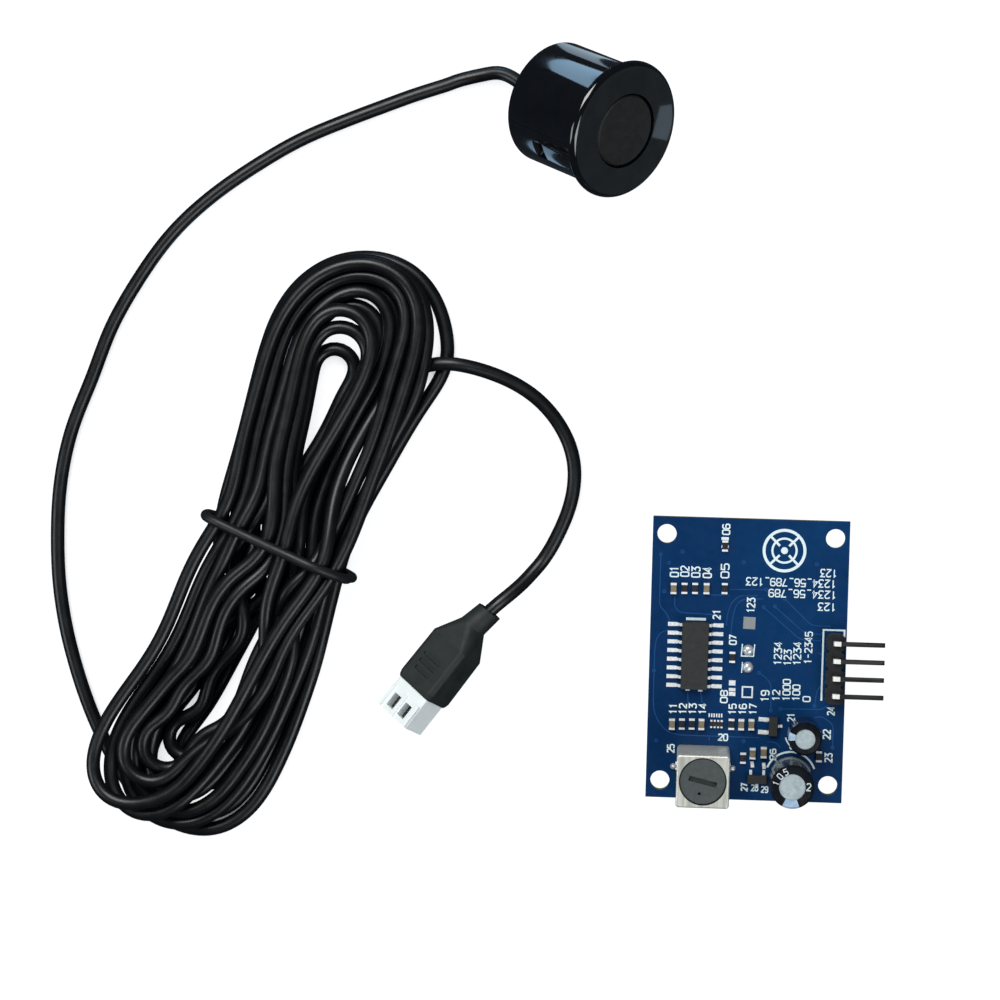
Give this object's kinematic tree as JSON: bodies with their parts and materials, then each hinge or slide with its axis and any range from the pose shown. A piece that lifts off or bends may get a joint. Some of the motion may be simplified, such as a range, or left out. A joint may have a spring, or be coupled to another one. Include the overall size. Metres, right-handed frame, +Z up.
{
  "type": "ultrasonic distance sensor",
  "caption": "Waterproof ultrasonic distance sensor: flanged round probe on a long coiled lead ending in a moulded plug, beside its control board with pin header and tuned transformer.",
  "frame": {"origin": "bottom centre of the whole laid-out set, on the table plane", "axes": "+Z up off the table, +X to the right across the board's width, +Y away from the viewer along the board's length"},
  "size_m": [0.1232, 0.1182, 0.0241],
  "materials": {
    "solder_mask": "glossy blue solder mask",
    "header_plastic": "satin",
    "pin_metal": "plated, bright",
    "epoxy": "fine matt moulding",
    "tinned": "bright tin",
    "resistor_glaze": "dark glaze",
    "capacitor_ceramic": "unglazed tan",
    "white_nylon": "natural white nylon",
    "can_metal": "drawn tinned sheet",
    "phenolic": "matt",
    "ferrite": "sintered, matt",
    "magnet_wire": "enamelled copper",
    "cap_aluminium": "satin",
    "cap_sleeve": "gloss shrink sleeve with a pale stripe",
    "bung_rubber": "matt",
    "foil_roll": "matt",
    "solder": "bright solder",
    "probe_gloss": "high gloss",
    "silicone": "satin",
    "cup_paint": "satin black paint on aluminium",
    "piezo": "silvered ceramic",
    "damping_felt": "felt",
    "wire_red": "gloss",
    "wire_black": "gloss",
    "potting": "matt potting compound",
    "cable_pvc": "satin black jacket",
    "tie_pvc": "satin",
    "overmould": "satin black moulding"
  },
  "bodies": {
    "coil": {"cable_coil": "cable_pvc", "cable_tie": "tie_pvc"},
    "probe": {"probe_housing": "probe_gloss", "isolation_ring": "silicone", "transducer_cup": "cup_paint", "piezo_disc": "piezo", "damping_pad": "damping_felt", "signal_lead": "wire_red", "ground_lead": "wire_black", "rear_potting": "potting", "strain_relief": "silicone", "probe_cable": "cable_pvc"},
    "plug": {"plug_cable": "cable_pvc", "plug_overmould": "overmould", "plug_housing": "white_nylon", "crimp_terminals": "pin_metal", "core_wires": "wire_red"},
    "core": {"tuning_core": "ferrite"},
    "control_board": {"circuit_board": "solder_mask", "header_body": "header_plastic", "header_pins": "pin_metal", "controller_chip_body": "epoxy", "controller_chip_leads": "tinned", "transistor_bodies": "epoxy", "transistor_leads": "tinned", "chip_resistors": "resistor_glaze", "chip_capacitors": "capacitor_ceramic", "chip_end_caps": "tinned", "socket_shell": "white_nylon", "socket_pins": "pin_metal", "transformer_can": "can_metal", "transformer_base": "phenolic", "transformer_pins": "tinned", "drum_core": "ferrite", "transformer_winding": "magnet_wire", "threaded_sleeve": "phenolic", "solder_joints": "solder", "big_capacitor_can": "cap_aluminium", "big_capacitor_sleeve": "cap_sleeve", "big_capacitor_bung": "bung_rubber", "big_capacitor_roll": "foil_roll", "big_capacitor_leads": "tinned", "small_capacitor_can": "cap_aluminium", "small_capacitor_sleeve": "cap_sleeve", "small_capacitor_bung": "bung_rubber", "small_capacitor_roll": "foil_roll", "small_capacitor_leads": "tinned"}
  },
  "joints": [
    {"name": "probe_lead_flex", "type": "hinge", "parent": "coil", "child": "probe", "pos_m": [-0.00537, 0.05264, 0.00102], "axis": [0, 0, 1], "range_deg": [-25, 25]},
    {"name": "plug_lead_flex", "type": "hinge", "parent": "coil", "child": "plug", "pos_m": [0.0123, -0.01533, 0.00102], "axis": [0, 0, 1], "range_deg": [-12, 20]},
    {"name": "board_lift", "type": "slide", "parent": "coil", "child": "control_board", "axis": [0, 0, 1], "range_m": [0, 0.06]},
    {"name": "core_turn", "type": "hinge", "parent": "control_board", "child": "core", "pos_m": [0.036, -0.04591, 0.0176], "axis": [0, 0, 1], "range_deg": [-180, 180]}
  ]
}
